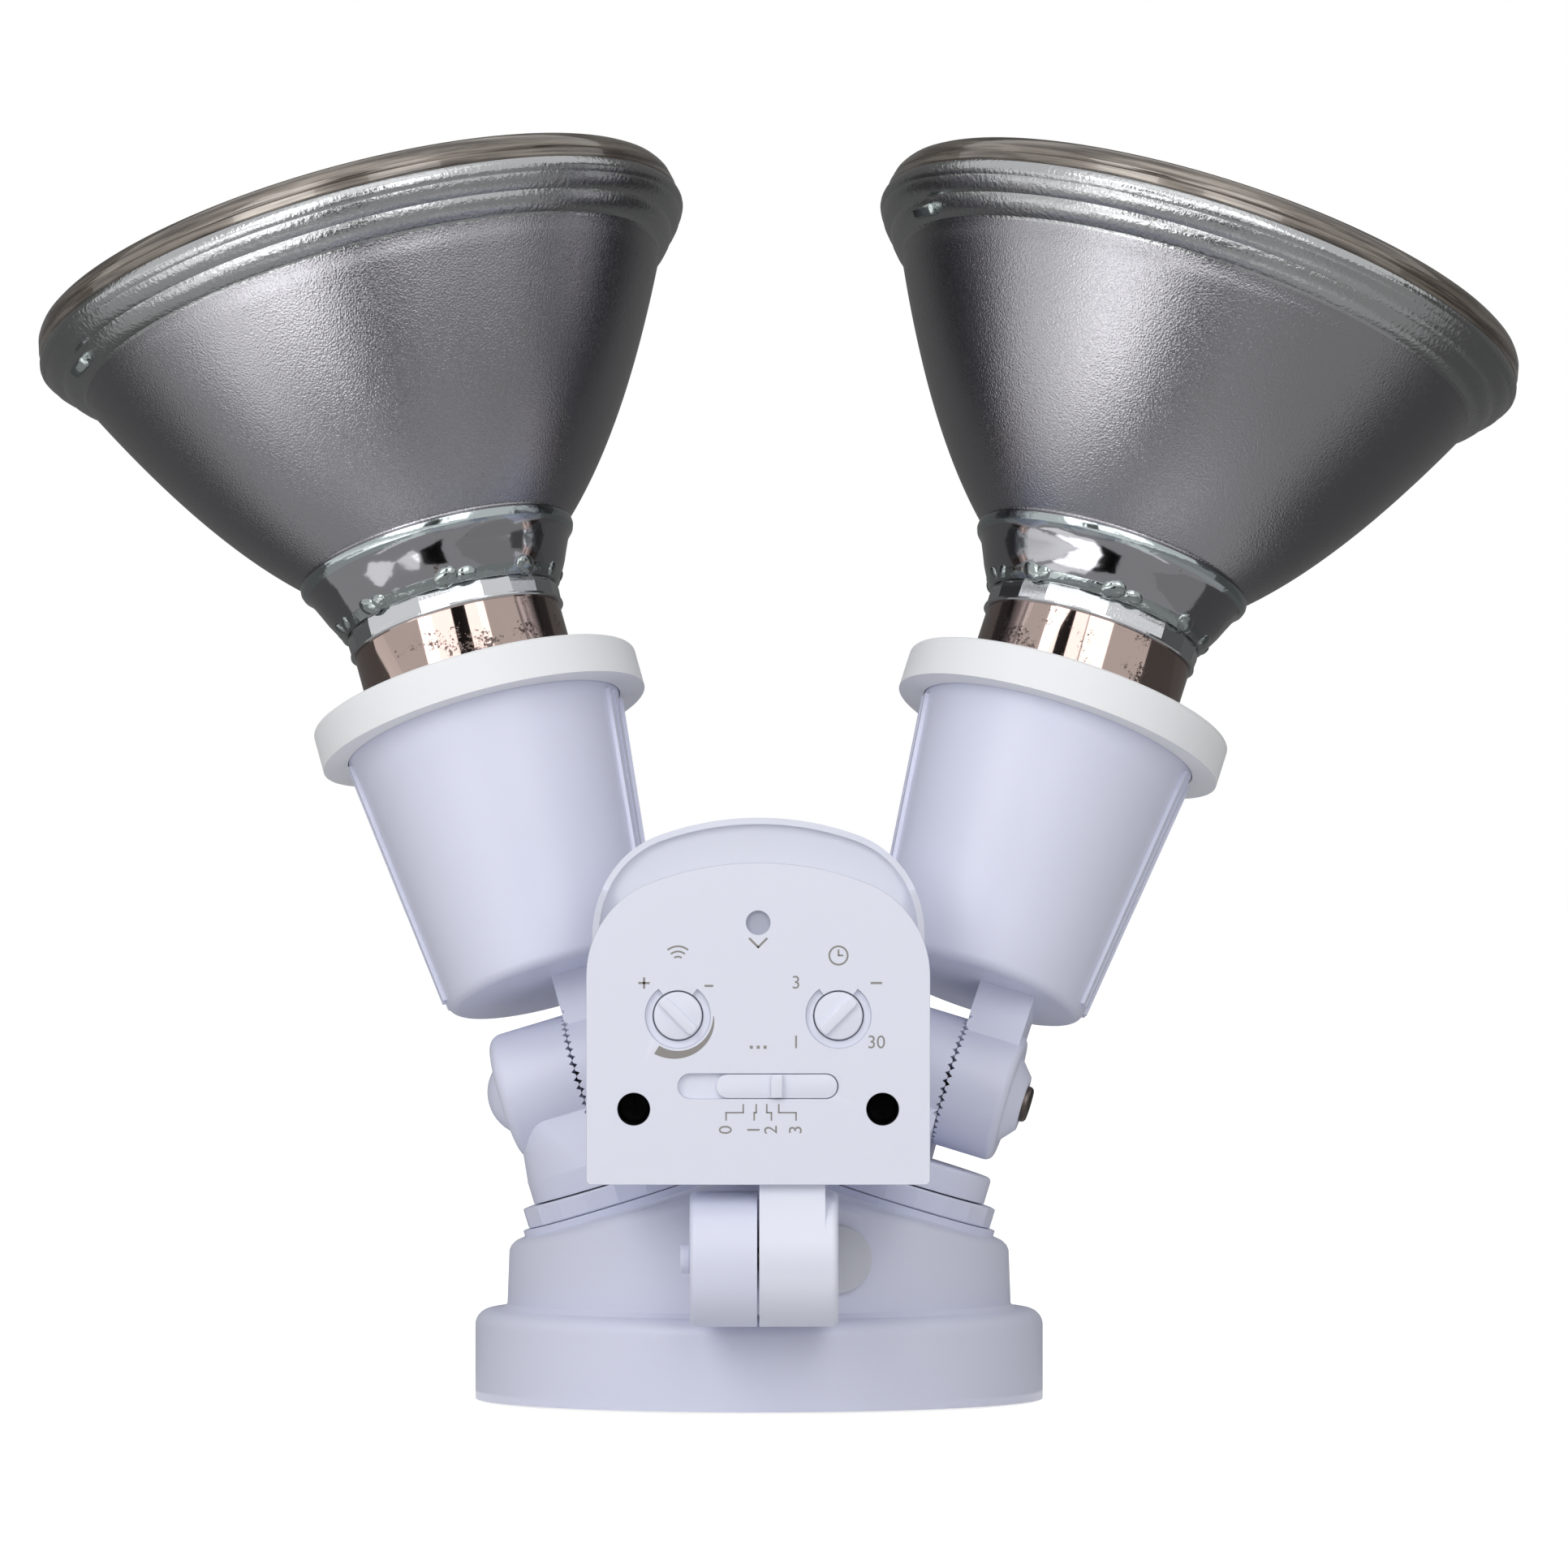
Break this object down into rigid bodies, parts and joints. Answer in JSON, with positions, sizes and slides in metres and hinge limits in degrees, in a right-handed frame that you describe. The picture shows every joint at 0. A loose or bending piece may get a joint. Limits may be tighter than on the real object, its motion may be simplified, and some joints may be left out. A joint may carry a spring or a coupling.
{
  "type": "motion sensor security light",
  "caption": "Outdoor floodlight with reflector bulbs in tilting, swivelling holders and a motion sensor head on a two-way hinge, on a round wall or ceiling base.",
  "frame": {"origin": "centre of the round base's back face, on the wall plane", "axes": "+Z out of the wall, +X to the right seen from the control panel's side, -Y towards the sensor's control panel, which faces down on a wall"},
  "size_m": [0.2708, 0.1678, 0.228],
  "materials": {
    "white_cast": "smooth moulded white, faint bluish cast",
    "white_shell": "satin moulded white",
    "grey_plug": "smooth pale grey",
    "foam": "closed cell foam",
    "zinc_steel": "zinc plated",
    "green_steel": "green coated screw",
    "dark_steel": "black oxide",
    "white_rubber": "matte silicone rubber",
    "porcelain": "glazed porcelain",
    "shell_metal": "pressed sheet",
    "brass": "spring brass",
    "nickel": "nickel plated, lightly spotted",
    "black_glass": "black glass insulator",
    "silvered_glass": "glass silvered inside, fine peened surface",
    "clear_glass": "clear pressed glass, faint amber at the rim",
    "quartz": "clear quartz",
    "filament_wire": "lead wires and heat shield",
    "lens_white": "translucent white film lens",
    "window_blue": "frosted pale window",
    "circuit_board": "green solder mask",
    "can_metal": "plated can",
    "black_case": "moulded case",
    "sleeve_blue": "printed sleeve without print",
    "trimmer_blue": "moulded case",
    "switch_metal": "tinned frame"
  },
  "bodies": {
    "base": {"base_cover": "white_cast", "wall_gasket": "foam", "crossbar": "zinc_steel", "cover_screw": "zinc_steel", "ground_screw": "green_steel", "base_plug": "grey_plug", "locknut_left": "white_cast", "locknut_right": "white_cast", "arm_seal_left": "foam", "arm_seal_right": "foam"},
    "arm_left": {"arm_left": "white_cast", "pivot_bolt_left": "dark_steel", "pivot_nut_left": "zinc_steel"},
    "arm_right": {"arm_right": "white_cast", "pivot_bolt_right": "dark_steel", "pivot_nut_right": "zinc_steel"},
    "lamp_left": {"holder_left": "white_cast", "gasket_left": "white_rubber", "socket_left": "porcelain", "screw_shell_left": "shell_metal", "centre_contact_left": "brass", "bulb_cap_left": "nickel", "bulb_tip_left": "black_glass", "bulb_reflector_left": "silvered_glass", "bulb_lens_left": "clear_glass", "capsule_left": "quartz", "filament_left": "filament_wire"},
    "lamp_right": {"holder_right": "white_cast", "gasket_right": "white_rubber", "socket_right": "porcelain", "screw_shell_right": "shell_metal", "centre_contact_right": "brass", "bulb_cap_right": "nickel", "bulb_tip_right": "black_glass", "bulb_reflector_right": "silvered_glass", "bulb_lens_right": "clear_glass", "capsule_right": "quartz", "filament_right": "filament_wire"},
    "swivel": {"sensor_swivel": "white_cast", "stub_nut": "zinc_steel", "stub_washer": "zinc_steel"},
    "sensor_head": {"sensor_housing": "white_shell", "sensor_panel": "white_shell", "fresnel_lens": "lens_white", "panel_screws": "dark_steel", "indicator_window": "window_blue", "sensor_board": "circuit_board", "detector_board": "circuit_board", "pir_detector": "can_metal", "relay": "black_case", "capacitor": "sleeve_blue", "trimmers": "trimmer_blue", "mode_switch": "switch_metal", "hinge_screw": "white_cast", "hinge_nut": "zinc_steel"},
    "sens_knob": {"sens_knob": "white_shell"},
    "time_knob": {"time_knob": "white_shell"},
    "mode_slider": {"mode_slider": "white_shell"}
  },
  "joints": [
    {"name": "arm_left_swivel", "type": "hinge", "parent": "base", "child": "arm_left", "pos_m": [-0.0331, 0, 0.0575], "axis": [-0.2907, 0, 0.9568], "range_deg": [-90, 90]},
    {"name": "arm_right_swivel", "type": "hinge", "parent": "base", "child": "arm_right", "pos_m": [0.0331, 0, 0.0575], "axis": [-0.2907, 0, -0.9568], "range_deg": [-90, 90]},
    {"name": "lamp_left_tilt", "type": "hinge", "parent": "arm_left", "child": "lamp_left", "pos_m": [-0.0331, 0, 0.0575], "axis": [-0.9532, 0.0872, -0.2896], "range_deg": [-12, 60]},
    {"name": "lamp_right_tilt", "type": "hinge", "parent": "arm_right", "child": "lamp_right", "pos_m": [0.0331, 0, 0.0575], "axis": [-0.9532, 0.0872, 0.2896], "range_deg": [-12, 60]},
    {"name": "sensor_pan", "type": "hinge", "parent": "base", "child": "swivel", "pos_m": [0, -0.062, 0.0275], "axis": [0, 1, 0], "range_deg": [-40, 40]},
    {"name": "sensor_tilt", "type": "hinge", "parent": "swivel", "child": "sensor_head", "pos_m": [0, -0.062, 0.0275], "axis": [1, 0, 0], "range_deg": [-3, 60]},
    {"name": "sens_knob_turn", "type": "hinge", "parent": "sensor_head", "child": "sens_knob", "pos_m": [-0.014, -0.072, 0.0703], "axis": [0, -1, 0], "range_deg": [0, 270]},
    {"name": "time_knob_turn", "type": "hinge", "parent": "sensor_head", "child": "time_knob", "pos_m": [0.014, -0.072, 0.0703], "axis": [0, -1, 0], "range_deg": [-270, 0]},
    {"name": "mode_slide", "type": "slide", "parent": "sensor_head", "child": "mode_slider", "axis": [1, 0, 0], "range_m": [-0.006, 0]}
  ]
}
